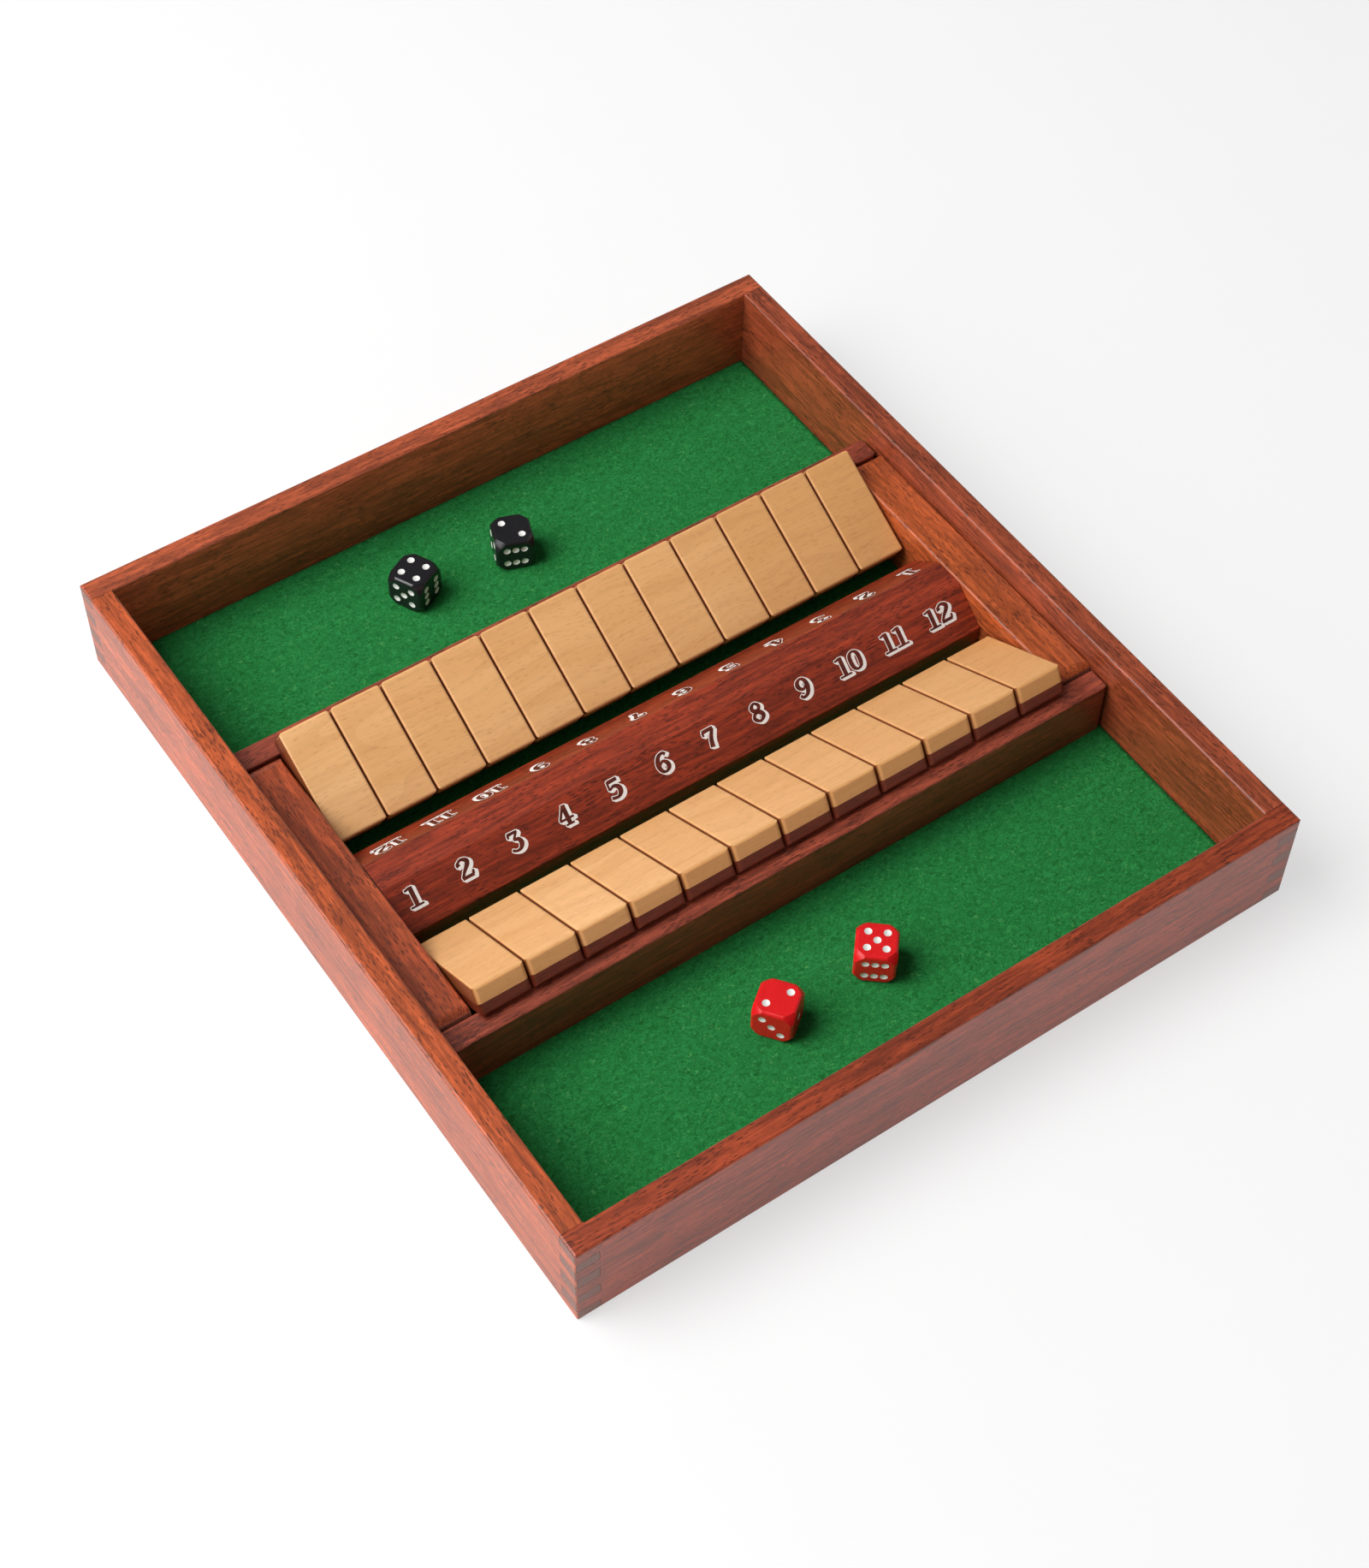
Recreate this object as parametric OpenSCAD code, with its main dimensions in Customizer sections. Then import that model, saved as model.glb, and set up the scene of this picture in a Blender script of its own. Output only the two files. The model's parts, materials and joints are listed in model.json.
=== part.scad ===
// Two-sided shut the box game: a finger-jointed tray with a centre number bar,
// two rows of twelve flip tiles on hinge rods, and four dice.
// Origin: bottom centre of the box. X runs along the rows of tiles, Y from the
// front player to the back player, Z up. All sizes are in millimetres.

/* [Box frame] */
// Depth of the box, from the front rail's face to the back rail's face
box_d = 350; // [336:1:420]
// Height of the rails
box_h = 45; // [43:0.5:60]
// Thickness of the rails
rail_t = 9.5; // [7:0.5:14]
// Fingers in each corner joint, counted over the full height
finger_count = 8; // [4:2:12]
// Glue gap round each finger
joint_gap = 0.12; // [0.05:0.01:0.3]
// Radius on the long edges and corners of the frame
frame_edge_r = 1; // [0.4:0.1:2]

/* [Floor] */
// Height of the panel's underside above the table
panel_up = 3; // [2:0.5:4]
// Thickness of the base panel
panel_t = 3; // [2:0.5:4]
// Depth of the grooves in the rails
groove_depth = 4; // [2:0.5:5]
// Clearance of the panel in its grooves
groove_gap = 0.1; // [0.05:0.05:0.4]
// Thickness of the felt
felt_t = 1; // [0.5:0.1:2]
// Gap between the felt's edge and the rails
felt_gap = 0.2; // [0.1:0.1:0.6]

/* [Tiles] */
// Number of tiles in each row
tile_count = 12; // [8:1:12]
// Length of a tile
tile_l = 46.5; // [42:0.5:52]
// Width of a tile
tile_w = 21.35; // [16:0.05:26]
// Thickness of a tile
tile_t = 12.2; // [11.5:0.1:13]
// Radius on the edges at the ends
tile_end_r = 1.2; // [0.6:0.1:2]
// Radius on the long edges
tile_edge_r = 1; // [0.4:0.1:1.5]
// Radius of the corners, seen from above
tile_corner_r = 2; // [1:0.1:3]
// Gap between neighbouring tiles
tile_gap = 0.6; // [0.3:0.05:1]
// Play between a row of tiles and the end blocks
end_play = 1.05; // [0.3:0.05:1.5]
// Gap between the two rows' tiles when both are shut
shut_gap = 0.8; // [0.4:0.1:3]
// Slope of an open tile
tile_tilt = 29; // [27:0.5:32]

/* [Hinge rods] */
// Diameter of a rod
rod_d = 4; // [3:0.5:5]
// Height of a rod above the felt
rod_up = 11.6; // [11:0.1:13]
// Distance of a rod from the near end of its tiles
rod_in = 5.7; // [5:0.1:7]
// Depth of a rod below the pale face of its tiles
rod_down = 7.8; // [6.5:0.1:8]
// Radial clearance of a rod in the tiles
rod_fit = 0.08; // [0.03:0.01:0.1]
// Radial clearance of a rod in the end blocks
rod_seat_fit = 0.02; // [0.01:0.01:0.1]
// Depth of the blind holes in the end blocks
rod_seat = 8; // [4:0.5:12]
// Gap between a rod's end and the bottom of its hole
rod_end_gap = 0.3; // [0.1:0.1:1]
// Chamfer on the ends of a rod
rod_chamfer = 0.5; // [0.2:0.1:1]

/* [Number bar] */
// Height of the bar above the felt
bar_h = 26; // [24:0.1:28]
// Height of the upright lower faces
bar_shoulder_h = 13.5; // [10:0.5:15]
// Slope of the number faces, on which a shut tile lies
cover_slope = 40; // [38:0.5:45]
// Radius on the long edges of the bar
bar_edge_r = 1; // [0.4:0.1:1.5]

/* [End blocks and ledges] */
// Width of an end block
block_w = 16.5; // [12:0.5:24]
// Height of the end blocks above the felt
block_h = 26.5; // [24:0.5:30]
// Radius of the rounded ends of the blocks
block_end_r = 6; // [2:0.5:8]
// Radius on the long top edges of the blocks
block_edge_r = 1; // [0.4:0.1:2]
// Thickness of a ledge
ledge_t = 9.9; // [8:0.1:14]
// How far the tip of an open tile reaches over the ledge
ledge_lap = 4.6; // [3:0.1:6]
// Radius on the top edges of a ledge
ledge_edge_r = 0.8; // [0.4:0.1:2]
// Radius on the upright corners of a ledge
ledge_end_r = 2; // [1:0.1:3]
// Gap between the ends of a ledge and the rails
ledge_end_gap = 0.8; // [0.2:0.1:1.5]
// Gap between a tile and what it leans on, open or shut
seat_gap = 0.15; // [0.05:0.05:0.3]
// Gap between the fixed wooden pieces of the mechanism
fit_gap = 0.2; // [0.1:0.05:0.4]

/* [Dice] */
// Size of a die
die_s = 16; // [13:0.5:18]
// Radius on the edges of a die
die_edge_r = 1.4; // [0.3:0.1:2]
// How far a die's corners are rounded away
die_corner_cut = 2.4; // [1:0.1:3]
// Diameter of a pip
pip_d = 3; // [1.5:0.1:3.4]
// Depth of a pip
pip_depth = 0.45; // [0.2:0.05:0.6]
// Distance of the outer pips from the middle of a face
pip_pitch = 3.55; // [3.5:0.05:4]

/* [Dice on the felt] */
// Place across the box: left and right black die, left and right red die
die_x = [-38.4, 5.8, -36.1, 8]; // [-60:0.1:60]
// Place in the tray, towards the back from its middle
die_y = [5.3, 2.1, 3.1, 3.1]; // [-25:0.1:25]
// Turn on the felt
die_turn = [-63.6, -21.2, -52.7, -40.6]; // [-180:0.1:180]

/* [Hidden] */
slack = 1;
smooth = 64;
rail_wood = [0.55, 0.26, 0.17];
bar_wood = [0.45, 0.17, 0.12];
tile_wood = [0.88, 0.68, 0.45];
felt_green = [0.13, 0.46, 0.22];
die_black = [0.1, 0.1, 0.11];
die_red = [0.85, 0.12, 0.1];
panel_wood = [0.72, 0.58, 0.4];
rod_steel = [0.72, 0.72, 0.7];

// The row of tiles sets the width of the box
tile_pitch = tile_w + tile_gap;
row_l = tile_count * tile_pitch - tile_gap + 2 * end_play;
inner_w = row_l + 2 * block_w;
box_w = inner_w + 2 * rail_t;
inner_d = box_d - 2 * rail_t;
finger_h = box_h / finger_count;
felt_z = panel_up + panel_t;
floor_z = felt_z + felt_t;

// Hinge: the rod lies as far from the centre line as the tip of a shut tile
// reaches, where the edge of its pale face comes nearest to that line.
under = tile_t - rod_down;
corner_l = tile_l - rod_in - tile_end_r;
corner_drop = rod_down - tile_end_r;
shut_reach = corner_l * cos(cover_slope) + corner_drop * sin(cover_slope) + tile_end_r;
rod_y = shut_reach + shut_gap / 2;
rod_z = floor_z + rod_up;
bore_d = rod_d + 2 * rod_fit;
rod_l = row_l + 2 * (rod_seat - rod_end_gap);

// Ledge: the underside of an open tile leans on its rounded inner edge
tip_y = rod_y + (tile_l - rod_in) * cos(tile_tilt) + under * sin(tile_tilt);
ledge_in = tip_y - ledge_lap;
ledge_out = ledge_in + ledge_t;
lean_y = ledge_in + ledge_edge_r - rod_y;
lean_gap = under + seat_gap + ledge_edge_r;
lean_z = rod_z + (lean_y * sin(tile_tilt) - lean_gap) / cos(tile_tilt);
ledge_top = lean_z + ledge_edge_r;

// Number bar: a shut tile lies flat on its sloping face
shoulder_z = floor_z + bar_shoulder_h;
bar_top = floor_z + bar_h;
cover_offset = rod_down + seat_gap - (rod_z - shoulder_z) * cos(cover_slope);
shoulder_y = rod_y - cover_offset / sin(cover_slope);
bar_top_y = shoulder_y - (bar_top - shoulder_z) / tan(cover_slope);

// Dice: middle of the back tray, and the ball that rounds off their corners
tray_mid = (ledge_out + inner_d / 2) / 2;
die_ball_r = die_s / 2 * sqrt(3) - die_corner_cut;

function tile_x(i) = (i - (tile_count + 1) / 2) * tile_pitch;

fixed_nodes = [
  "front_rail", "back_rail", "left_rail", "right_rail", "base_panel", "felt_lining",
  "front_ledge", "back_ledge", "left_end_block", "right_end_block", "number_bar",
  "front_rod", "back_rod"
];
tile_nodes = [for (row = ["front", "back"]) for (i = [1:tile_count]) str(row, "_tile_", i)];
die_nodes = ["black_die_1", "black_die_2", "red_die_1", "red_die_2"];

// Convex outline with every corner rounded to its own radius
module soft_polygon(points, radii) {
  n = len(points);
  corners = [
    for (i = [0:n - 1])
      let (
        p = points[i],
        a = points[(i + n - 1) % n] - p,
        b = points[(i + 1) % n] - p,
        ua = a / norm(a),
        ub = b / norm(b),
        half = acos(ua * ub) / 2,
        run = radii[i] / tan(half),
        middle = (ua + ub) / norm(ua + ub)
      )
      [p + ua * run, p + ub * run, p + middle * radii[i] / sin(half)]
  ];
  polygon([for (c = corners) each [c[0], c[1]]]);
  for (i = [0:n - 1]) {
    if (radii[i] > 0) translate(corners[i][2]) circle(r = radii[i], $fn = smooth);
  }
}

// Rectangle with rounded corners, centred
module soft_rect(w, h, r) {
  soft_polygon([[-w, -h] / 2, [w, -h] / 2, [w, h] / 2, [-w, h] / 2], [r, r, r, r]);
}

// Extrudes a drawing in Y and Z along X, centred
module along_x(length) {
  rotate([90, 0, 90]) linear_extrude(length, center = true) children();
}

// Extrudes a drawing in X and Z along Y, centred
module along_y(length) {
  rotate([90, 0, 0]) linear_extrude(length, center = true) children();
}

// Turns a front piece into its back counterpart
module for_back() {
  rotate([0, 0, 180]) children();
}

// Outer envelope of the frame with its edges rounded
module frame_envelope() {
  mid_z = box_h / 2;
  intersection() {
    linear_extrude(box_h) soft_rect(box_w, box_d, frame_edge_r);
    translate([0, 0, mid_z]) along_x(box_w + slack) soft_rect(box_d, box_h, frame_edge_r);
    translate([0, 0, mid_z]) along_y(box_d + slack) soft_rect(box_w, box_h, frame_edge_r);
  }
}

// Slots at a rail's corner for the fingers of its neighbour
module finger_slots(first, w, d) {
  for (k = [first:2:finger_count - 1]) {
    top = box_h - k * finger_h + (k == 0 ? slack : joint_gap / 2);
    low = box_h - (k + 1) * finger_h - (k == finger_count - 1 ? slack : joint_gap / 2);
    translate([-w / 2, -d / 2, low]) cube([w, d, top - low]);
  }
}

// Base panel's outline, wider by a gap all round
module panel_blank(gap) {
  w = inner_w + 2 * (groove_depth - groove_gap + gap);
  d = inner_d + 2 * (groove_depth - groove_gap + gap);
  translate([-w / 2, -d / 2, panel_up - gap]) cube([w, d, panel_t + 2 * gap]);
}

// Front rail: owns the top finger at both ends
module front_rail() {
  color(rail_wood) difference() {
    intersection() {
      frame_envelope();
      translate([-box_w / 2, -box_d / 2, 0]) cube([box_w, rail_t, box_h]);
    }
    for (side = [-1, 1]) {
      translate([side * box_w / 2, -box_d / 2, 0])
        finger_slots(1, 2 * (rail_t + joint_gap), 3 * rail_t);
    }
    panel_blank(groove_gap);
    inner_edge_cut(inner_w, -inner_d / 2);
  }
}

module back_rail() {
  for_back() front_rail();
}

// Left rail: its fingers fill the slots of the front and back rails
module left_rail() {
  color(rail_wood) difference() {
    intersection() {
      frame_envelope();
      translate([-box_w / 2, -box_d / 2, 0]) cube([rail_t, box_d, box_h]);
    }
    for (side = [-1, 1]) {
      translate([-box_w / 2, side * box_d / 2, 0])
        finger_slots(0, 3 * rail_t, 2 * (rail_t + joint_gap));
    }
    panel_blank(groove_gap);
    rotate([0, 0, -90]) inner_edge_cut(inner_d, -inner_w / 2);
  }
}

module right_rail() {
  for_back() left_rail();
}

// Rounds off the inner top edge of a rail that runs along X
module inner_edge_cut(length, y) {
  r = frame_edge_r;
  translate([0, y, box_h]) along_x(length) difference() {
    translate([-r, -r]) square(r + slack);
    translate([-r, -r]) circle(r, $fn = smooth);
  }
}

module base_panel() {
  color(panel_wood) panel_blank(0);
}

module felt_lining() {
  w = inner_w - 2 * felt_gap;
  d = inner_d - 2 * felt_gap;
  color(felt_green) translate([-w / 2, -d / 2, felt_z]) cube([w, d, felt_t]);
}

// Upright outline from the felt to a top with rounded corners, centred
module soft_top(w, top, r) {
  soft_polygon([[-w / 2, floor_z], [w / 2, floor_z], [w / 2, top], [-w / 2, top]], [0, 0, r, r]);
}

// Ledge: a strip with eased top edges and rounded corners
module back_ledge() {
  ledge_l = inner_w - 2 * ledge_end_gap;
  color(rail_wood) translate([0, ledge_in + ledge_t / 2, 0]) intersection() {
    along_x(ledge_l) soft_top(ledge_t, ledge_top, ledge_edge_r);
    along_y(ledge_t) soft_top(ledge_l, ledge_top, ledge_edge_r);
    linear_extrude(ledge_top) soft_rect(ledge_l, ledge_t, ledge_end_r);
  }
}

module front_ledge() {
  for_back() back_ledge();
}

// End block: rounded over at both ends, with a blind hole for each rod
module left_end_block() {
  block_l = 2 * (ledge_in - fit_gap);
  wide = block_w - fit_gap;
  top = floor_z + block_h;
  color(rail_wood) difference() {
    translate([-(row_l + wide) / 2, 0, 0]) intersection() {
      along_x(wide) soft_top(block_l, top, block_end_r);
      along_y(block_l) soft_top(wide, top, block_edge_r);
    }
    for (side = [-1, 1]) {
      translate([-row_l / 2 - rod_seat, side * rod_y, rod_z]) rotate([0, 90, 0])
        cylinder(h = rod_seat + slack, d = rod_d + 2 * rod_seat_fit, $fn = smooth);
    }
  }
}

module right_end_block() {
  for_back() left_end_block();
}

// Number bar: a sloping face for each player above two upright faces
module number_bar() {
  color(bar_wood) along_x(row_l - 2 * fit_gap) soft_polygon(
    [
      [-shoulder_y, floor_z],
      [shoulder_y, floor_z],
      [shoulder_y, shoulder_z],
      [bar_top_y, bar_top],
      [-bar_top_y, bar_top],
      [-shoulder_y, shoulder_z]
    ],
    [0, 0, bar_edge_r, bar_edge_r, bar_edge_r, bar_edge_r]
  );
}

// Hinge rod with chamfered ends
module back_rod() {
  color(rod_steel) translate([0, rod_y, rod_z]) rotate([0, 90, 0]) {
    cylinder(h = rod_l - 2 * rod_chamfer, d = rod_d, center = true, $fn = smooth);
    for (side = [0, 180]) {
      rotate([side, 0, 0]) translate([0, 0, rod_l / 2 - rod_chamfer])
        cylinder(h = rod_chamfer, d1 = rod_d, d2 = rod_d - 2 * rod_chamfer, $fn = smooth);
    }
  }
}

module front_rod() {
  for_back() back_rod();
}

// Tile in its own frame: the rod's axis along X at the origin, the pale face up
module tile_blank() {
  difference() {
    translate([0, tile_l / 2 - rod_in, rod_down - tile_t / 2]) intersection() {
      along_x(tile_w) soft_rect(tile_l, tile_t, tile_end_r);
      along_y(tile_l) soft_rect(tile_w, tile_t, tile_edge_r);
      linear_extrude(tile_t, center = true) soft_rect(tile_w, tile_l, tile_corner_r);
    }
    rotate([0, 90, 0]) cylinder(h = tile_w + slack, d = bore_d, center = true, $fn = smooth);
  }
}

// Open tile of the back row, counted from the left
module back_tile(i) {
  color(tile_wood) translate([tile_x(i), rod_y, rod_z]) rotate([tile_tilt, 0, 0]) tile_blank();
}

// Open tile of the front row, counted from the left
module front_tile(i) {
  for_back() back_tile(tile_count + 1 - i);
}

// Where the pips of a face with this value lie, in pip pitches
function pips(value) = concat(
  value % 2 == 1 ? [[0, 0]] : [],
  value > 1 ? [[-1, -1], [1, 1]] : [],
  value > 3 ? [[-1, 1], [1, -1]] : [],
  value == 6 ? [[-1, 0], [1, 0]] : []
);

// Ball that cuts a pip of the set diameter and depth
pip_ball_r = (pow(pip_d / 2, 2) + pow(pip_depth, 2)) / (2 * pip_depth);

module face_pips(value) {
  for (p = pips(value)) {
    translate([p[0] * pip_pitch, p[1] * pip_pitch, die_s / 2 + pip_ball_r - pip_depth])
      sphere(r = pip_ball_r, $fn = smooth);
  }
}

// Die with 2 on top, 3 to the front and 1 to the right; opposite faces add to 7
module die_blank() {
  difference() {
    intersection() {
      sphere(r = die_ball_r, $fn = smooth);
      linear_extrude(die_s, center = true) soft_rect(die_s, die_s, die_edge_r);
      along_x(die_s) soft_rect(die_s, die_s, die_edge_r);
      along_y(die_s) soft_rect(die_s, die_s, die_edge_r);
    }
    rotate([0, 90, 0]) face_pips(1);
    face_pips(2);
    rotate([90, 0, 0]) rotate([0, 0, 90]) face_pips(3);
    rotate([-90, 0, 0]) face_pips(4);
    rotate([180, 0, 0]) face_pips(5);
    rotate([0, -90, 0]) face_pips(6);
  }
}

// Die at its place in a tray, rolled to show another face, then turned
module die(i, tray_y, roll) {
  translate([die_x[i], tray_y + die_y[i], floor_z + die_s / 2]) rotate([0, 0, die_turn[i]])
    rotate(roll) die_blank();
}

module black_die_1() {
  color(die_black) die(0, tray_mid, [90, 0, 180]);
}

module black_die_2() {
  color(die_black) die(1, tray_mid, [0, 0, 90]);
}

module red_die_1() {
  color(die_red) die(2, -tray_mid, [0, 0, 0]);
}

module red_die_2() {
  color(die_red) die(3, -tray_mid, [180, 0, 90]);
}

front_rail();
back_rail();
left_rail();
right_rail();
base_panel();
felt_lining();
front_ledge();
back_ledge();
left_end_block();
right_end_block();
number_bar();
front_rod();
back_rod();
for (i = [1:tile_count]) {
  front_tile(i);
  back_tile(i);
}
black_die_1();
black_die_2();
red_die_1();
red_die_2();
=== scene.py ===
"""Looks of a two-sided shut the box game: lacquered wood, felt, painted numbers and plastic dice.

Everything is in metres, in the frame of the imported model. X runs along the rows of tiles and Z is up.
"""

import json
import math

import bmesh
import bpy
import numpy as np
from mathutils import Euler, Matrix, Vector, noise

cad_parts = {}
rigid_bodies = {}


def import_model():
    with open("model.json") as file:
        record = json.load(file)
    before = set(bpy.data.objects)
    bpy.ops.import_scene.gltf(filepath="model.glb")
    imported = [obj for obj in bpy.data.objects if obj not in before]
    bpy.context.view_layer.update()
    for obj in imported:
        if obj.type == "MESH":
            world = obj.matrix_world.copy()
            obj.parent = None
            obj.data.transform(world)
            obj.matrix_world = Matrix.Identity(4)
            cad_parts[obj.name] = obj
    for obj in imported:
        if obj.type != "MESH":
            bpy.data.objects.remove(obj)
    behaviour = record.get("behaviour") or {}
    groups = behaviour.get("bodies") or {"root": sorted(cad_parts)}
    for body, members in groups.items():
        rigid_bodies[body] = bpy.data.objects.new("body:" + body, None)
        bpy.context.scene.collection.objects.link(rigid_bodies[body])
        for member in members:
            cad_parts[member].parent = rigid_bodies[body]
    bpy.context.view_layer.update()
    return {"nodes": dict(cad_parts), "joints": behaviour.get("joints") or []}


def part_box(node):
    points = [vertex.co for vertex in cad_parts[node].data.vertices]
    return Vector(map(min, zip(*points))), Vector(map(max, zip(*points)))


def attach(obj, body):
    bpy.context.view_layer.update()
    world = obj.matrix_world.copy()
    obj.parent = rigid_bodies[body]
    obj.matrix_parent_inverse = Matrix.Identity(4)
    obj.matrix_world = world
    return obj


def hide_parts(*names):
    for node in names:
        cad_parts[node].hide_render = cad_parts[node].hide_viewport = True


MM = 0.001

# Camera, fitted to the box's edges, for an image of 1600 by 1832 pixels
CAMERA_PLACE = (-0.3795, -0.5448, 0.864)
CAMERA_TURN_DEG = (37.303, -1.155, -34.89)
CAMERA_LENS = 64.41
CAMERA_SHIFT_X = -0.0218

# World: sine of the height at which the white sweep starts and stops to fade, and the ceiling's strength
SWEEP_TOP = (0.25, 0.45)
CEILING = 0.12

# Softboxes: place, side and power; each points at the frame's origin
LAMPS = {
    "softbox_over_back": ((-1.0, 0.45, 1.55), 1.3, 37),
    "softbox_left": ((-1.6, 0.2, 0.8), 0.9, 8),
    "softbox_front_low": ((-0.7, -2.2, 0.18), 0.3, 1.5),
}

# Floor: its side, its drop below the box, and the share of its look that is plain white
FLOOR_SIZE = 12
FLOOR_DROP = 0.2 * MM
FLOOR_GLOW = 0.6

# Reddish hardwood: the axis that each piece's grain runs along, and its tone
HARDWOOD = {
    "front_rail": (0, (144, 58, 30)),
    "back_rail": (0, (166, 78, 46)),
    "left_rail": (1, (172, 78, 38)),
    "right_rail": (1, (148, 68, 40)),
    "front_ledge": (0, (142, 64, 44)),
    "back_ledge": (0, (142, 64, 44)),
    "left_end_block": (1, (162, 72, 38)),
    "right_end_block": (1, (172, 82, 40)),
    "number_bar": (0, (140, 49, 25)),
}
END_GRAIN = (116, 66, 50)

# Tiles: lean at rest, height above the rod where the stain ends, and tones
TILE_TILT = math.radians(29)
TILE_STAIN_FROM = 0.75 * MM
TILE_PALE = (240, 187, 129)
TILE_STAIN = (116, 44, 20)

# Felt: mesh step, depth of its unevenness, and the sheet's share of the lining's thickness
FELT_STEP = 2 * MM
FELT_DIP = 0.12 * MM
FELT_SHARE = 0.8

# Numbers on the bar: pitch, place on the slope, outline, shaded side and height of the paint
NUMBER_COUNT = 12
NUMBER_PITCH = 21.84 * MM
NUMBER_ASIDE = 2.3 * MM
NUMBER_BASE = 10.8 * MM
DIGIT_SCALE = (1.09 * MM, 1.06 * MM)
OUTLINE = 0.42
BARE_GROW = 0.12
SHADE_REACH = (0.85, -0.75)
SHADE_STEPS = 4
END_TURN_DEG = 15
PAINT_LIFT = 0.02 * MM
STROKE_LIFT = 0.001 * MM

# Digits, drawn as strokes of (right, up, half width) on a height of 7.6
STROKES = {
    "0": [
        [
            (2.75, 7.15, 0.32),
            (1.25, 6.2, 0.62),
            (0.85, 3.8, 0.75),
            (1.25, 1.4, 0.62),
            (2.75, 0.45, 0.32),
            (4.25, 1.4, 0.62),
            (4.65, 3.8, 0.75),
            (4.25, 6.2, 0.62),
            (2.75, 7.15, 0.32),
        ]
    ],
    "1": [
        [(2.75, 0.3, 0.72), (2.75, 7.3, 0.72)],
        [(2.2, 7.1, 0.3), (1.5, 6.75, 0.3), (0.55, 6.65, 0.3)],
        [(0.3, 0.25, 0.25), (5.1, 0.25, 0.25)],
    ],
    "2": [
        [
            (1.15, 5.35, 0.75),
            (1.0, 6.2, 0.45),
            (2.6, 7.2, 0.4),
            (4.4, 6.3, 0.72),
            (4.2, 4.9, 0.72),
            (2.4, 3.0, 0.5),
            (0.85, 1.0, 0.35),
        ],
        [(0.7, 0.75, 0.5), (5.0, 0.75, 0.5)],
        [(5.3, 2.3, 0.3), (4.9, 0.9, 0.4)],
    ],
    "3": [
        [(0.9, 6.95, 0.5), (4.5, 6.95, 0.35)],
        [(0.8, 5.7, 0.3), (1.0, 7.0, 0.3)],
        [(4.3, 6.9, 0.35), (2.5, 4.55, 0.35)],
        [
            (2.4, 4.5, 0.35),
            (4.1, 4.1, 0.6),
            (4.6, 2.5, 0.8),
            (3.6, 0.95, 0.55),
            (2.0, 0.6, 0.35),
            (0.5, 1.3, 0.4),
        ],
    ],
    "4": [
        [(3.4, 0.3, 0.72), (3.4, 7.3, 0.72)],
        [(3.2, 7.1, 0.35), (0.5, 2.6, 0.35)],
        [(0.35, 2.3, 0.32), (5.6, 2.3, 0.32)],
        [(1.9, 0.25, 0.25), (5.0, 0.25, 0.25)],
    ],
    "5": [
        [(1.2, 6.75, 0.6), (4.9, 6.85, 0.55)],
        [(1.15, 7.0, 0.3), (1.0, 3.9, 0.3)],
        [
            (1.1, 4.0, 0.3),
            (3.0, 4.75, 0.45),
            (4.6, 3.6, 0.8),
            (4.5, 1.8, 0.8),
            (3.0, 0.6, 0.45),
            (0.7, 0.9, 0.5),
        ],
    ],
    "6": [
        [
            (4.9, 6.3, 0.5),
            (4.0, 7.1, 0.4),
            (2.0, 6.2, 0.65),
            (0.95, 3.7, 0.8),
            (1.4, 1.3, 0.6),
            (2.9, 0.45, 0.35),
            (4.4, 1.5, 0.7),
            (4.4, 3.2, 0.7),
            (3.0, 4.3, 0.4),
            (1.6, 3.4, 0.35),
        ]
    ],
    "7": [
        [(0.7, 6.6, 0.6), (4.9, 6.7, 0.55)],
        [(0.55, 5.1, 0.3), (0.7, 6.6, 0.35)],
        [(4.7, 6.5, 0.5), (3.0, 3.4, 0.65), (2.3, 0.3, 0.8)],
    ],
    "8": [
        [
            (2.75, 7.15, 0.35),
            (1.35, 6.1, 0.65),
            (1.6, 4.8, 0.65),
            (3.9, 3.3, 0.75),
            (4.45, 1.7, 0.7),
            (2.75, 0.45, 0.4),
            (1.0, 1.7, 0.6),
            (1.4, 3.2, 0.5),
            (3.7, 4.7, 0.5),
            (4.15, 6.0, 0.55),
            (2.75, 7.15, 0.35),
        ]
    ],
    "9": [
        [
            (0.6, 1.4, 0.5),
            (1.5, 0.5, 0.4),
            (3.5, 1.3, 0.65),
            (4.55, 3.9, 0.8),
            (4.1, 6.3, 0.6),
            (2.6, 7.15, 0.35),
            (1.1, 6.1, 0.7),
            (1.1, 4.4, 0.7),
            (2.5, 3.3, 0.4),
            (3.9, 4.2, 0.35),
        ]
    ],
}
ADVANCE = {
    "0": 5.6,
    "1": 5.5,
    "2": 5.7,
    "3": 5.4,
    "4": 6.0,
    "5": 5.6,
    "6": 5.6,
    "7": 5.6,
    "8": 5.5,
    "9": 5.6,
}

# Dice: how each was rolled and how it lies, as turns about X, Y and Z, and their pips
DICE = {
    "black_die_1": ((90, 0, 180), -63.6),
    "black_die_2": ((0, 0, 90), -21.2),
    "red_die_1": ((0, 0, 0), -52.7),
    "red_die_2": ((180, 0, 90), -40.6),
}
DIE_FACES = {
    1: (0, 90, 0),
    2: (0, 0, 0),
    3: (90, 0, 0),
    4: (-90, 0, 0),
    5: (180, 0, 0),
    6: (0, -90, 0),
}
PIP_PITCH = 3.55 * MM
PIP_RADIUS = 1.5 * MM
PIP_DEPTH = 0.45 * MM
PIP_COAT = 0.02 * MM
PIP_RINGS = 5
PIP_SIDES = 24


def srgb(red, green, blue):
    """A colour of 0 to 255 as the linear RGBA that a shader socket takes."""
    parts = [c / 255 for c in (red, green, blue)]
    linear = [c / 12.92 if c <= 0.04045 else ((c + 0.055) / 1.055) ** 2.4 for c in parts]
    return (*linear, 1.0)


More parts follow.
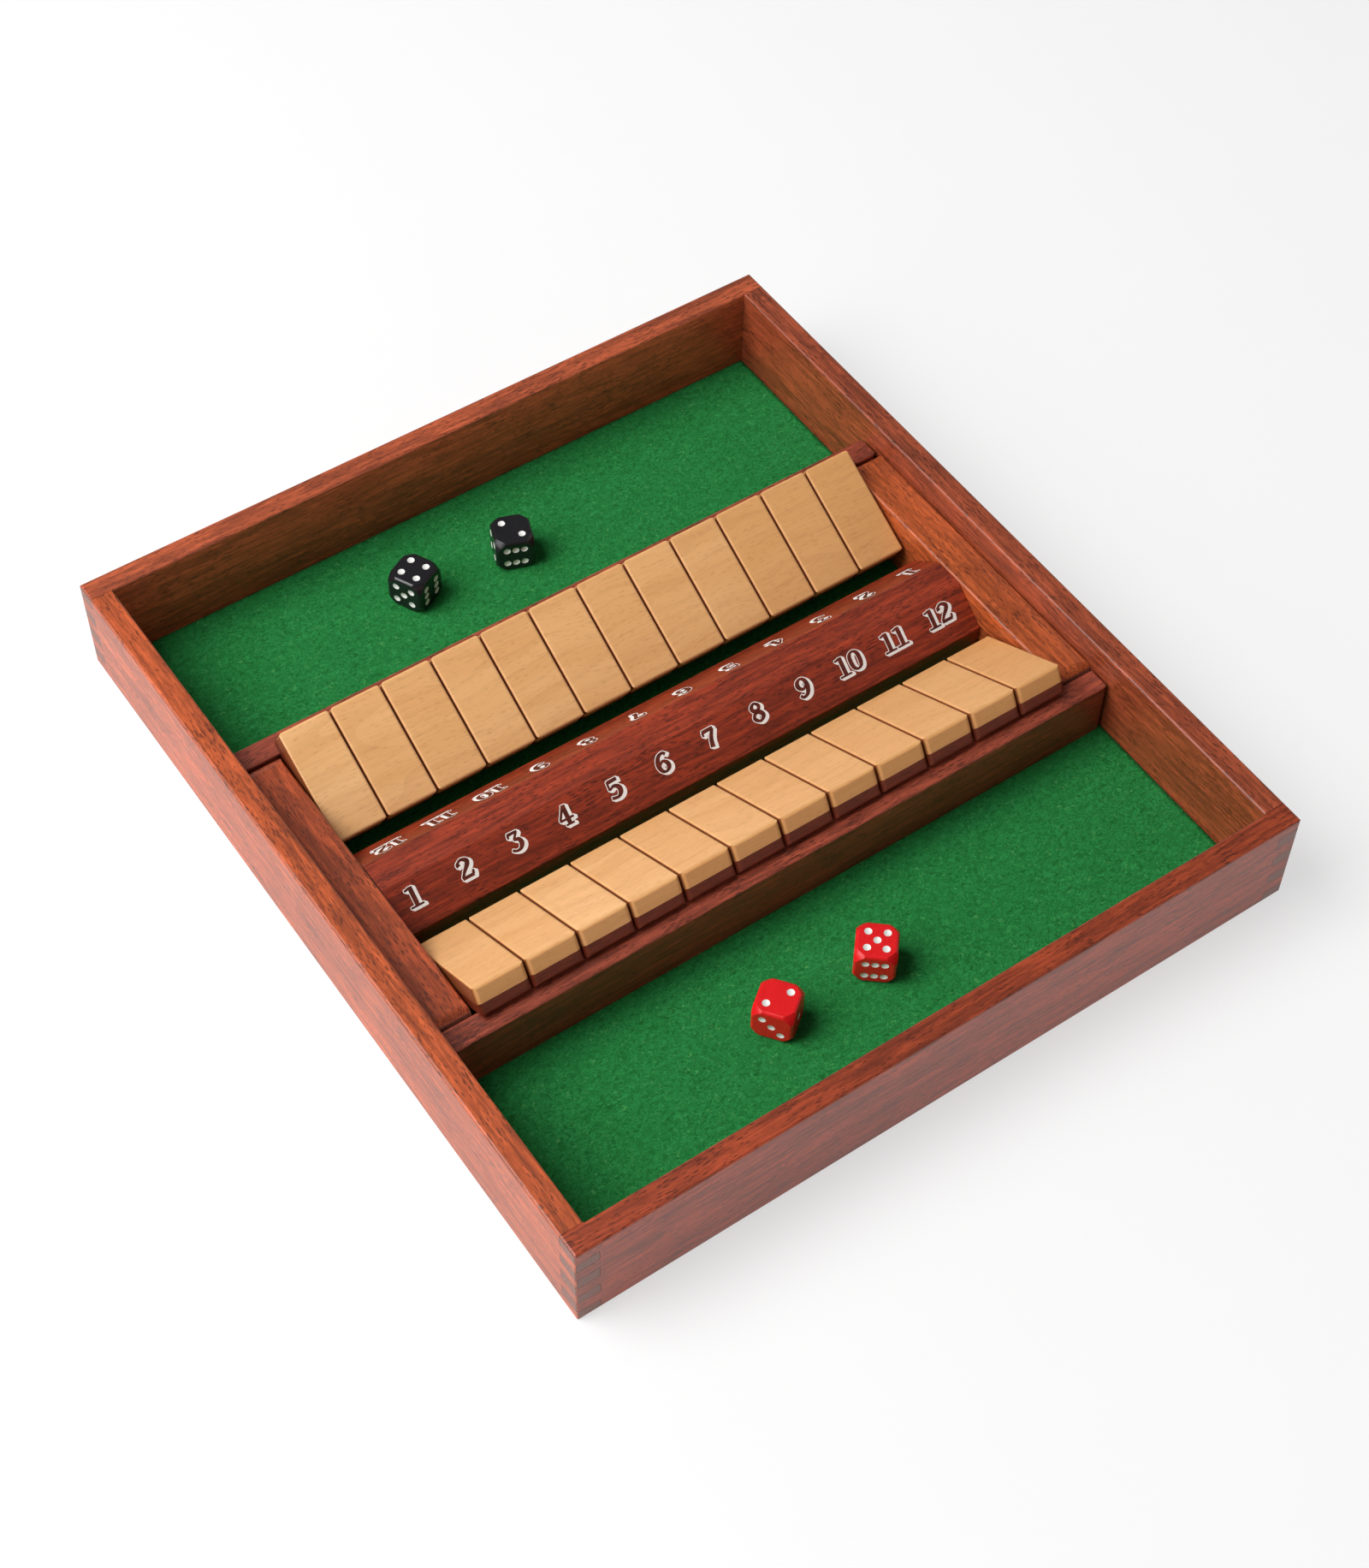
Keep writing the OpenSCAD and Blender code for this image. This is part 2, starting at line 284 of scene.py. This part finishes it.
class Shader:
    """A material's node tree, built one node at a time."""

    def __init__(self, name):
        self.material = bpy.data.materials.new(name)
        self.material.use_nodes = True
        self.tree = self.material.node_tree
        self.tree.nodes.clear()
        self.output = self.tree.nodes.new("ShaderNodeOutputMaterial")
        self.object_coords = self.node("ShaderNodeTexCoord").outputs["Object"]

    def node(self, kind, inputs=None, **settings):
        made = self.tree.nodes.new(kind)
        for key, value in settings.items():
            setattr(made, key, value)
        for key, value in (inputs or {}).items():
            self.feed(made.inputs[key], value)
        return made

    def feed(self, socket, value):
        if isinstance(value, bpy.types.NodeSocket):
            self.tree.links.new(value, socket)
        else:
            socket.default_value = value

    def math(self, operation, a, b=0.0):
        return self.node("ShaderNodeMath", {0: a, 1: b}, operation=operation).outputs[0]

    def vector(self, operation, a, b, output="Vector"):
        return self.node("ShaderNodeVectorMath", {0: a, 1: b}, operation=operation).outputs[output]

    def stretched(self, coords, scale, offset=(0, 0, 0)):
        inputs = {"Vector": coords, "Scale": scale, "Location": offset}
        return self.node("ShaderNodeMapping", inputs).outputs[0]

    def noise(self, coords, detail=2.0, roughness=0.5, distortion=0.0):
        inputs = {
            "Vector": coords,
            "Scale": 1.0,
            "Detail": detail,
            "Roughness": roughness,
            "Distortion": distortion,
        }
        return self.node("ShaderNodeTexNoise", inputs).outputs["Fac"]

    def cells(self, coords):
        return self.node("ShaderNodeTexVoronoi", {"Vector": coords, "Scale": 1.0})

    def ramp(self, value, low, high, out_low=0.0, out_high=1.0):
        inputs = {"Value": value, "From Min": low, "From Max": high, "To Min": out_low, "To Max": out_high}
        return self.node("ShaderNodeMapRange", inputs).outputs["Result"]

    def mix(self, factor, a, b, blend="MIX"):
        made = self.node("ShaderNodeMix", data_type="RGBA", blend_type=blend, clamp_factor=True)
        self.feed(made.inputs[0], factor)
        self.feed(made.inputs[6], a)
        self.feed(made.inputs[7], b)
        return made.outputs[2]

    def bump(self, height, strength, distance):
        inputs = {"Height": height, "Strength": strength, "Distance": distance}
        return self.node("ShaderNodeBump", inputs).outputs["Normal"]

    def surface(self, **inputs):
        """Ends the tree with a Principled surface; _ in a name stands for a space."""
        named = {key.replace("_", " "): value for key, value in inputs.items()}
        shader = self.node("ShaderNodeBsdfPrincipled", named)
        self.tree.links.new(shader.outputs[0], self.output.inputs["Surface"])
        return self.material


def along(axis, lengthwise, across):
    """A texture scale, per metre, that stretches a pattern along one axis."""
    scale = [across] * 3
    scale[axis] = lengthwise
    return tuple(scale)


def toned(colour, factor):
    """A colour made lighter or darker."""
    return (*(min(c * factor, 1.0) for c in colour[:3]), 1.0)


def hardwood(name, axis, tone, seed, end_grain):
    """Lacquered reddish hardwood along an axis: bands, streaks, short dark pores and other ends."""
    s = Shader(name)
    coords = s.vector("ADD", s.object_coords, (seed * 0.37, seed * 0.53, seed * 0.71))
    wander = s.noise(s.stretched(coords, along(axis, 14, 30)), detail=1)
    sway = {i: s.ramp(wander, 0.2, 0.8, -1.5 * MM, 1.5 * MM) for i in range(3) if i != axis}
    grain = s.vector("ADD", coords, s.node("ShaderNodeCombineXYZ", sway).outputs[0])
    bands = s.noise(s.stretched(grain, along(axis, 7, 95)), detail=2)
    streaks = s.noise(s.stretched(grain, along(axis, 45, 640)), detail=4, roughness=0.7)
    fibres = s.noise(s.stretched(grain, along(axis, 190, 1700)), detail=2, roughness=0.6)
    cells = s.cells(s.stretched(grain, along(axis, 250, 1250)))
    reach = s.ramp(s.noise(s.stretched(coords, (90, 90, 90)), detail=1), 0.3, 0.7, 0.2, 0.44)
    pores = s.ramp(s.math("SUBTRACT", reach, cells.outputs["Distance"]), 0.0, 0.14)

    colour = s.mix(s.ramp(bands, 0.3, 0.7), toned(tone, 0.78), toned(tone, 1.3))
    colour = s.mix(s.ramp(streaks, 0.36, 0.5, 0.75, 0.0), colour, toned(tone, 0.46))
    colour = s.mix(s.ramp(streaks, 0.5, 0.66, 0.0, 0.7), colour, toned(tone, 1.85))
    colour = s.mix(s.ramp(fibres, 0.5, 0.3, 0.0, 0.5), colour, toned(tone, 0.45))
    colour = s.mix(s.math("MULTIPLY", pores, 0.75), colour, toned(tone, 0.2))

    normal = s.node("ShaderNodeTexCoord").outputs["Normal"]
    facing = s.node("ShaderNodeSeparateXYZ", {0: s.vector("ABSOLUTE", normal, (0, 0, 0))}).outputs[axis]
    specks = s.noise(s.stretched(coords, along(axis, 200, 1100)), detail=3, roughness=0.7)
    ends = s.mix(s.ramp(specks, 0.35, 0.65), toned(end_grain, 0.7), toned(end_grain, 1.25))
    colour = s.mix(s.math("GREATER_THAN", facing, 0.75), colour, ends)

    height = s.math("SUBTRACT", s.math("MULTIPLY", fibres, 0.5), pores)
    return s.surface(
        Base_Color=colour,
        Roughness=s.ramp(fibres, 0.2, 0.8, 0.34, 0.46),
        Normal=s.bump(height, 0.25, 0.06 * MM),
        Coat_Weight=0.15,
        Coat_Roughness=0.35,
    )


def tile_cells(s, seed):
    """Number of the tile along its row, a random value for it, and coordinates of its own."""
    pitch = tile_pitch()
    first = tile_middle("front_tile_1").x - pitch / 2
    x = s.node("ShaderNodeSeparateXYZ", {0: s.object_coords}).outputs[0]
    cell = s.math("FLOOR", s.math("DIVIDE", s.math("SUBTRACT", x, first), pitch))
    number = s.math("ADD", cell, seed)
    random = s.node("ShaderNodeTexWhiteNoise", {"W": number}, noise_dimensions="1D")
    tone = random.outputs["Value"]
    jump = s.node("ShaderNodeCombineXYZ", {0: cell, 1: s.math("MULTIPLY", tone, 0.9), 2: seed})
    return cell, tone, s.vector("ADD", s.object_coords, jump.outputs[0])


def tile_wood(name, rod, top_normal, pale, stain, seed):
    """Pale wood with its grain along X, stained reddish brown below a line along the tile, with painted
    shade on the sides that face the gaps between tiles.
    """
    s = Shader(name)
    cell, tone, coords = tile_cells(s, seed)
    wander = s.noise(s.stretched(coords, along(0, 22, 14)), detail=1)
    shift = s.node("ShaderNodeCombineXYZ", {1: s.ramp(wander, 0.2, 0.8, -4 * MM, 4 * MM)}).outputs[0]
    grain = s.vector("ADD", coords, shift)
    bands = s.noise(s.stretched(grain, along(0, 12, 120)), detail=2)
    fibres = s.noise(s.stretched(grain, along(0, 110, 1300)), detail=3, roughness=0.6)
    contours = s.noise(s.stretched(grain, along(0, 4, 36)), detail=0)
    rings = s.math("FRACT", s.math("MULTIPLY", contours, 9.0))
    cells = s.cells(s.stretched(grain, along(0, 240, 1500)))
    chance = s.node("ShaderNodeSeparateXYZ", {0: cells.outputs["Color"]}).outputs[0]
    present = s.math("GREATER_THAN", chance, 0.45)
    dashes = s.math("MULTIPLY", s.ramp(cells.outputs["Distance"], 0.36, 0.16), present)

    deep = (pale[0] * 0.8, pale[1] * 0.68, pale[2] * 0.52, 1)
    brown = (pale[0] * 0.52, pale[1] * 0.34, pale[2] * 0.24, 1)
    amber = (pale[0], pale[1] * 0.7, pale[2] * 0.4, 1)
    colour = s.mix(s.ramp(bands, 0.35, 0.7, 0.0, 0.5), pale, deep)
    colour = s.mix(s.ramp(tone, 0, 1, 0.0, 0.45), colour, deep)
    colour = s.mix(s.ramp(cell, 4, 12, 0.0, 0.7), colour, deep)
    colour = s.mix(s.ramp(rings, 0.6, 0.97, 0.0, 0.13), colour, brown)
    colour = s.mix(s.ramp(fibres, 0.5, 0.75, 0.0, 0.26), colour, brown)
    colour = s.mix(s.math("MULTIPLY", dashes, 0.34), colour, brown)

    normal = s.node("ShaderNodeTexCoord").outputs["Normal"]
    facing_up = s.math("ABSOLUTE", s.vector("DOT_PRODUCT", normal, top_normal, "Value"))
    colour = s.mix(s.ramp(facing_up, 0.75, 0.45, 0.0, 0.4), colour, amber)
    # Painted shade: the tiles' sides face their neighbours across the narrow gaps. They are coloured very
    # dark reddish brown so that the gaps read dark.
    size = s.vector("ABSOLUTE", normal, (0, 0, 0))
    side_in_gap_shade = s.node("ShaderNodeSeparateXYZ", {0: size}).outputs[0]
    colour = s.mix(s.ramp(side_in_gap_shade, 0.6, 0.9, 0.0, 0.9), colour, (0.2, 0.035, 0.008, 1))

    from_rod = s.vector("SUBTRACT", s.object_coords, rod)
    height = s.vector("DOT_PRODUCT", from_rod, top_normal, "Value")
    edge = s.math("ADD", height, s.ramp(fibres, 0, 1, -0.1 * MM, 0.1 * MM))
    stained = s.math("LESS_THAN", edge, TILE_STAIN_FROM)
    red = s.mix(s.ramp(fibres, 0.3, 0.7), toned(stain, 0.6), toned(stain, 1.2))
    relief = s.math("SUBTRACT", s.math("MULTIPLY", fibres, 0.6), dashes)
    return s.surface(
        Base_Color=s.mix(stained, colour, red),
        Roughness=s.ramp(fibres, 0.2, 0.8, 0.38, 0.5),
        Normal=s.bump(relief, 0.2, 0.05 * MM),
    )


def felt_cloth(name):
    """Pressed green felt: cloudy tone, matted fibres and lighter tufts."""
    s = Shader(name)
    place = s.object_coords
    clouds = s.noise(s.stretched(place, (50, 50, 50)), detail=3, roughness=0.6)
    matted = s.noise(s.stretched(place, (520, 680, 600)), detail=3, roughness=0.7, distortion=1.2)
    fibres = s.noise(s.stretched(place, (800, 1300, 900)), detail=3, roughness=0.7, distortion=2.0)
    tufts = s.noise(s.stretched(place, (640, 640, 640), (3, 5, 7)), detail=2, distortion=1.0)
    colour = s.mix(s.ramp(matted, 0.32, 0.68), srgb(22, 92, 40), srgb(50, 150, 78))
    colour = s.mix(s.ramp(clouds, 0.3, 0.7, 0.0, 0.25), colour, srgb(28, 118, 50))
    colour = s.mix(s.ramp(fibres, 0.35, 0.5, 0.35, 0.0), colour, srgb(14, 78, 30))
    colour = s.mix(s.ramp(tufts, 0.62, 0.76, 0.0, 0.55), colour, srgb(96, 172, 96))
    height = s.math("ADD", matted, s.math("MULTIPLY", fibres, 0.5))
    return s.surface(
        Base_Color=colour,
        Roughness=0.95,
        Normal=s.bump(height, 0.6, 0.25 * MM),
        Specular_IOR_Level=0.1,
    )


def plastic(name, colour, worn, seed):
    """Polished plastic with a faint mottle and fine handling marks."""
    s = Shader(name)
    mottle = s.noise(s.stretched(s.object_coords, (160, 160, 160), (seed, 0, 0)), detail=3)
    marks = s.noise(s.stretched(s.object_coords, (900, 2600, 1500)), detail=4, roughness=0.7)
    return s.surface(
        Base_Color=s.mix(s.ramp(mottle, 0.3, 0.7, 0.0, 0.5), colour, worn),
        Roughness=s.ramp(marks, 0.3, 0.7, 0.2, 0.3),
        Normal=s.bump(mottle, 0.05, 0.05 * MM),
    )


def paint(name, colour, worn, roughness):
    """Thin opaque paint, a little uneven."""
    s = Shader(name)
    uneven = s.noise(s.stretched(s.object_coords, (1500, 1500, 1500)), detail=3, roughness=0.6)
    return s.surface(
        Base_Color=s.mix(s.ramp(uneven, 0.35, 0.75), colour, worn),
        Roughness=s.ramp(uneven, 0.2, 0.8, roughness, roughness + 0.15),
        Normal=s.bump(uneven, 0.2, 0.03 * MM),
    )


def plywood(name):
    """Bare birch plywood with its face grain along Y."""
    s = Shader(name)
    bands = s.noise(s.stretched(s.object_coords, along(1, 4, 60)), detail=4, roughness=0.6, distortion=0.4)
    fibres = s.noise(s.stretched(s.object_coords, along(1, 60, 1200)), detail=3)
    colour = s.mix(s.ramp(bands, 0.3, 0.7), srgb(188, 146, 98), srgb(218, 182, 134))
    colour = s.mix(s.ramp(fibres, 0.5, 0.8, 0.0, 0.35), colour, srgb(150, 108, 66))
    return s.surface(Base_Color=colour, Roughness=0.7, Normal=s.bump(fibres, 0.3, 0.05 * MM))


def drawn_steel(name):
    """Plain steel rod with fine drawing lines along X."""
    s = Shader(name)
    lines = s.noise(s.stretched(s.object_coords, along(0, 30, 4000)), detail=2)
    return s.surface(
        Base_Color=s.mix(s.ramp(lines, 0.3, 0.7), (0.36, 0.36, 0.35, 1), (0.55, 0.55, 0.54, 1)),
        Metallic=1.0,
        Roughness=s.ramp(lines, 0.2, 0.8, 0.28, 0.45),
        Normal=s.bump(lines, 0.1, 0.02 * MM),
    )


def tile_middle(node):
    low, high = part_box(node)
    return (low + high) / 2


def tile_pitch():
    """Distance between neighbouring tiles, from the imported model."""
    span = tile_middle(f"front_tile_{NUMBER_COUNT}").x - tile_middle("front_tile_1").x
    return span / (NUMBER_COUNT - 1)


def rod_axis(frame, joint_name):
    joint = next(j for j in frame["joints"] if j["name"] == joint_name)
    return Vector(joint["pos_m"])


def dress(node, material):
    """Gives a CAD node its material."""
    node.data.materials.clear()
    node.data.materials.append(material)


def mesh_piece(name, vertices, faces, material, body, slot):
    """A piece of its own that rides on a body of the frame."""
    mesh = bpy.data.meshes.new(name)
    mesh.from_pydata([tuple(v) for v in vertices], [], faces)
    mesh.materials.append(material)
    mesh.update()
    piece = bpy.data.objects.new(name, mesh)
    bpy.context.scene.collection.objects.link(piece)
    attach(piece, body)
    return piece


def smooth_stroke(points, steps=8):
    """Points of a Catmull-Rom curve through a stroke's points, with the half width as third value."""
    given = np.array(points, float)
    if len(given) == 2:
        return given
    closed = np.allclose(given[0], given[-1])
    before = given[-2] if closed else 2 * given[0] - given[1]
    after = given[1] if closed else 2 * given[-1] - given[-2]
    knots = np.vstack([before, given, after])
    curve = []
    for a, b, c, d in zip(knots, knots[1:], knots[2:], knots[3:]):
        for t in np.linspace(0, 1, steps, endpoint=False):
            bend = (2 * a - 5 * b + 4 * c - d) * t**2 + (-a + 3 * b - 3 * c + d) * t**3
            curve.append((2 * b + (c - a) * t + bend) / 2)
    curve.append(given[-1])
    return np.array(curve)


def round_end(end, grow, side):
    """Rows of (x, y, heading x, heading y, half width) that round a grown stroke off beyond an end."""
    turns = np.radians(np.arange(END_TURN_DEG, 90, END_TURN_DEG))
    rows = np.repeat(end[None], len(turns), axis=0)
    rows[:, :2] += side * end[2:4] * grow * np.sin(turns)[:, None]
    rows[:, 4] -= grow * (1 - np.cos(turns))
    return rows


def stroke_outline(points, grow):
    """Left and right edges of a stroke whose half width is grown, rounded off at open ends."""
    curve = smooth_stroke(points)
    heading = np.gradient(curve[:, :2], axis=0)
    heading /= np.linalg.norm(heading, axis=1)[:, None]
    path = np.column_stack([curve[:, :2], heading, curve[:, 2] + grow])
    if np.allclose(points[0], points[-1]):
        joined = heading[0] + heading[-1]
        path[[0, -1], 2:4] = joined / np.linalg.norm(joined)
    elif grow > 0:
        start, end = round_end(path[0], grow, -1), round_end(path[-1], grow, 1)
        path = np.vstack([start[::-1], path, end])
    middle, heading, width = path[:, :2], path[:, 2:4], path[:, 4]
    side = np.stack([-heading[:, 1], heading[:, 0]], axis=1) * width[:, None]
    return middle + side, middle - side


def number_strokes(text):
    """The strokes of a number, centred on its width."""
    start = -sum(ADVANCE[digit] for digit in text) / 2
    for digit in text:
        for stroke in STROKES[digit]:
            yield [(start + right, up, half) for right, up, half in stroke]
        start += ADVANCE[digit]


def number_layers(text):
    """(grow, shift, is_paint) of each layer, lowest first: shaded side, outline, bare digit."""
    for step in range(SHADE_STEPS, -1, -1):
        share = step / SHADE_STEPS
        yield OUTLINE, (SHADE_REACH[0] * share, SHADE_REACH[1] * share), True
    yield BARE_GROW, (0.0, 0.0), False


def add_number(name, text, origin, right, up, normal, white, bare):
    """Paints one number: a white outline with a shaded side, and the digits left bare. The bare digits use
    a darker tone of the bar's wood, which is painted shade.
    """
    made = {True: ([], []), False: ([], [])}
    lift = PAINT_LIFT
    for grow, shift, is_paint in number_layers(text):
        vertices, faces = made[is_paint]
        for stroke in number_strokes(text):
            left_edge, right_edge = stroke_outline(stroke, grow)
            base = len(vertices)
            for pair in zip(left_edge, right_edge):
                for x, y in pair:
                    aside = right * (x + shift[0]) * DIGIT_SCALE[0]
                    high = up * (y + shift[1]) * DIGIT_SCALE[1]
                    vertices.append(origin + aside + high + normal * lift)
            for i in range(len(left_edge) - 1):
                k = base + 2 * i
                faces.append((k, k + 1, k + 3, k + 2))
            lift += STROKE_LIFT
    mesh_piece(f"{name}_paint", *made[True], white, "box", "bar_wood")
    mesh_piece(f"{name}_bare", *made[False], bare, "box", "bar_wood")


def slope_of_bar(frame, side):
    """(middle of the upper edge, outward normal) of the bar's sloping face for a player."""
    mesh = frame["nodes"]["number_bar"].data
    sloping = [p for p in mesh.polygons if 0.3 < p.normal.y * side < 0.9 and p.area > 1e-4]
    corners = [mesh.vertices[i].co for p in sloping for i in p.vertices]
    top = max(corners, key=lambda c: c.z)
    return Vector((0, top.y, top.z)), sloping[0].normal.copy()


def add_numbers(frame, white, bare):
    """1 to 12 on both slopes, reading from left to right for the player on that side."""
    for row, side in (("front", -1), ("back", 1)):
        edge, normal = slope_of_bar(frame, side)
        right = Vector((-side, 0, 0))
        up = normal.cross(right)
        for value in range(1, NUMBER_COUNT + 1):
            aside = (value - (NUMBER_COUNT + 1) / 2) * NUMBER_PITCH - NUMBER_ASIDE
            origin = edge + right * aside - up * NUMBER_BASE
            add_number(f"{row}_number_{value}", str(value), origin, right, up, normal, white, bare)


def pip_places(value):
    places = [(0, 0)] if value % 2 else []
    if value > 1:
        places += [(-1, -1), (1, 1)]
    if value > 3:
        places += [(-1, 1), (1, -1)]
    if value == 6:
        places += [(-1, 0), (1, 0)]
    return places


def degrees(turns):
    return Euler([math.radians(t) for t in turns], "XYZ").to_matrix().to_4x4()


def pip_cap(face, half, right, up, base):
    """Vertices and faces of the paint in one hollow; base is the number of its first vertex."""
    ball = (PIP_RADIUS**2 + PIP_DEPTH**2) / (2 * PIP_DEPTH)
    vertices, faces = [], []
    for ring in range(PIP_RINGS + 1):
        radius = (PIP_RADIUS - PIP_COAT) * ring / PIP_RINGS
        depth = PIP_DEPTH - (ball - math.sqrt(ball**2 - radius**2)) - PIP_COAT
        for k in range(PIP_SIDES):
            angle = 2 * math.pi * k / PIP_SIDES
            x = right * PIP_PITCH + radius * math.cos(angle)
            y = up * PIP_PITCH + radius * math.sin(angle)
            vertices.append(face @ Vector((x, y, half - depth)))
    for ring in range(PIP_RINGS):
        for k in range(PIP_SIDES):
            a = base + ring * PIP_SIDES + k
            b = base + ring * PIP_SIDES + (k + 1) % PIP_SIDES
            faces.append((a, a + PIP_SIDES, b + PIP_SIDES, b))
    return vertices, faces


def smooth(piece):
    """Smooth shading on every face of a piece."""
    for polygon in piece.data.polygons:
        polygon.use_smooth = True


def add_pips(node, material, slot):
    """White paint in the hollows of a die, a hair above the plastic."""
    low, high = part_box(node)
    roll, turn = DICE[node]
    lie = Matrix.Translation((low + high) / 2) @ degrees((0, 0, turn)) @ degrees(roll)
    vertices, faces = [], []
    for value, facing in DIE_FACES.items():
        quarter = degrees((0, 0, 90)) if value == 3 else Matrix.Identity(4)
        face = lie @ degrees(facing) @ quarter
        for right, up in pip_places(value):
            cap = pip_cap(face, (high.z - low.z) / 2, right, up, len(vertices))
            vertices += cap[0]
            faces += cap[1]
    piece = mesh_piece(f"{node}_pips", vertices, faces, material, node, slot)
    bm = bmesh.new()
    bm.from_mesh(piece.data)
    bmesh.ops.remove_doubles(bm, verts=bm.verts, dist=1e-7)
    bm.to_mesh(piece.data)
    bm.free()
    smooth(piece)


def add_felt(material):
    """The felt lining as a slightly uneven sheet glued on the panel."""
    low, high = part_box("felt_lining")
    across = int((high.x - low.x) / FELT_STEP) + 1
    deep = int((high.y - low.y) / FELT_STEP) + 1
    vertices = []
    for j in range(deep + 1):
        for i in range(across + 1):
            x = low.x + (high.x - low.x) * i / across
            y = low.y + (high.y - low.y) * j / deep
            dip = 0.5 + 0.5 * noise.fractal(Vector((x, y, 0)) * 160, 0.6, 2.0, 3)
            vertices.append((x, y, high.z - FELT_DIP * min(max(dip, 0.0), 1.0)))
    row = across + 1
    corners = [j * row + i for j in range(deep) for i in range(across)]
    faces = [(a, a + 1, a + row + 1, a + row) for a in corners]
    felt = mesh_piece("felt_sheet", vertices, faces, material, "box", "green_felt")
    smooth(felt)
    thickness = felt.modifiers.new("thickness", "SOLIDIFY")
    thickness.thickness = (high.z - low.z) * FELT_SHARE
    thickness.offset = -1
    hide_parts("felt_lining")


def add_floor():
    """A wide white studio floor under the box, whose shadow is kept but softened for the camera."""
    s = Shader("studio_floor")
    grain = s.noise(s.stretched(s.object_coords, (20, 20, 20)), detail=2)
    white = s.mix(grain, (0.92, 0.92, 0.92, 1), (0.94, 0.94, 0.94, 1))
    matt = {"Base Color": white, "Roughness": 0.8, "Specular IOR Level": 0.1}
    lit = s.node("ShaderNodeBsdfPrincipled", matt)
    glow = s.node("ShaderNodeEmission", {"Color": (1, 1, 1, 1), "Strength": 1.0})
    path = s.node("ShaderNodeLightPath").outputs
    seen = s.math("MAXIMUM", path["Is Camera Ray"], path["Is Glossy Ray"])
    seen = s.math("MAXIMUM", seen, path["Is Transmission Ray"])
    share = s.math("MULTIPLY", seen, FLOOR_GLOW)
    both = s.node("ShaderNodeMixShader", {0: share, 1: lit.outputs[0], 2: glow.outputs[0]})
    s.tree.links.new(both.outputs[0], s.output.inputs["Surface"])
    bpy.ops.mesh.primitive_plane_add(size=FLOOR_SIZE, location=(0, 0, -FLOOR_DROP))
    floor = bpy.context.object
    floor.name = "studio_floor"
    floor.data.materials.append(s.material)


def add_lamp(name, place, size, power):
    """A square softbox that points at the frame's origin."""
    lamp = bpy.data.lights.new(name, "AREA")
    lamp.shape = "SQUARE"
    lamp.size = size
    lamp.energy = power
    holder = bpy.data.objects.new(name, lamp)
    bpy.context.scene.collection.objects.link(holder)
    holder.location = place
    holder.rotation_euler = (-Vector(place)).to_track_quat("-Z", "Y").to_euler()


def add_world():
    """A white studio sweep near the horizon, under a dim ceiling."""
    world = bpy.data.worlds.new("studio")
    bpy.context.scene.world = world
    world.use_nodes = True
    nodes, links = world.node_tree.nodes, world.node_tree.links
    nodes.clear()
    direction = nodes.new("ShaderNodeTexCoord")
    split = nodes.new("ShaderNodeSeparateXYZ")
    fade = nodes.new("ShaderNodeMapRange")
    fade.interpolation_type = "SMOOTHSTEP"
    fade.inputs["From Min"].default_value = SWEEP_TOP[0]
    fade.inputs["From Max"].default_value = SWEEP_TOP[1]
    fade.inputs["To Min"].default_value = 1.0
    fade.inputs["To Max"].default_value = CEILING
    background = nodes.new("ShaderNodeBackground")
    background.inputs["Color"].default_value = (1, 1, 1, 1)
    output = nodes.new("ShaderNodeOutputWorld")
    links.new(direction.outputs["Generated"], split.inputs[0])
    links.new(split.outputs["Z"], fade.inputs["Value"])
    links.new(fade.outputs[0], background.inputs["Strength"])
    links.new(background.outputs[0], output.inputs["Surface"])


def add_camera():
    """The photograph's viewpoint."""
    data = bpy.data.cameras.new("camera")
    data.sensor_width = 36
    data.lens = CAMERA_LENS
    data.shift_x = CAMERA_SHIFT_X
    data.clip_start = 0.01
    camera = bpy.data.objects.new("camera", data)
    bpy.context.scene.collection.objects.link(camera)
    camera.location = CAMERA_PLACE
    camera.rotation_euler = [math.radians(a) for a in CAMERA_TURN_DEG]
    bpy.context.scene.camera = camera


def dress_wood(nodes):
    """Rails, ledges, end blocks and bar, each with its own piece of the same reddish wood."""
    ends = srgb(*END_GRAIN)
    for seed, (node, (axis, tone)) in enumerate(HARDWOOD.items(), start=1):
        dress(nodes[node], hardwood(f"{node}_wood", axis, srgb(*tone), seed, ends))


def dress_tiles(frame):
    """Both rows of tiles, pale above and stained below."""
    pale, stain = srgb(*TILE_PALE), srgb(*TILE_STAIN)
    for row, side in (("front", -1), ("back", 1)):
        normal = (0, -side * math.sin(TILE_TILT), math.cos(TILE_TILT))
        rod = rod_axis(frame, f"{row}_tile_1_hinge")
        wood = tile_wood(f"{row}_tile_wood", rod, normal, pale, stain, 3.0 + side)
        for i in range(1, NUMBER_COUNT + 1):
            dress(frame["nodes"][f"{row}_tile_{i}"], wood)


def dress_dice(nodes):
    """Red and black dice with white pips."""
    red = plastic("red_plastic", srgb(230, 30, 34), srgb(214, 20, 26), 1)
    black = plastic("black_plastic", srgb(26, 25, 28), srgb(36, 34, 38), 2)
    white = paint("pip_paint", srgb(240, 240, 236), srgb(226, 226, 220), 0.35)
    for node in DICE:
        is_red = node.startswith("red")
        dress(nodes[node], red if is_red else black)
        add_pips(node, white, "red_plastic" if is_red else "black_plastic")


def main():
    scene = bpy.context.scene
    for leftover in list(bpy.data.objects):
        bpy.data.objects.remove(leftover)
    scene.view_settings.view_transform = "Standard"
    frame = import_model()
    nodes = frame["nodes"]

    dress_wood(nodes)
    dress_tiles(frame)
    dress_dice(nodes)
    dress(nodes["base_panel"], plywood("panel_plywood"))
    steel = drawn_steel("rod_steel")
    dress(nodes["front_rod"], steel)
    dress(nodes["back_rod"], steel)
    add_felt(felt_cloth("green_felt"))
    add_numbers(
        frame,
        paint("number_paint", srgb(250, 248, 246), srgb(238, 234, 230), 0.5),
        # Painted shade: the bare digits are the bar's own wood in a darker tone, the tone of the bar's
        # front slope in shade.
        hardwood("bare_number_wood_in_painted_shade", 0, srgb(100, 34, 20), 9, srgb(66, 20, 12)),
    )

    add_camera()
    for name, (place, size, power) in LAMPS.items():
        add_lamp(name, place, size, power)
    add_world()
    add_floor()


main()
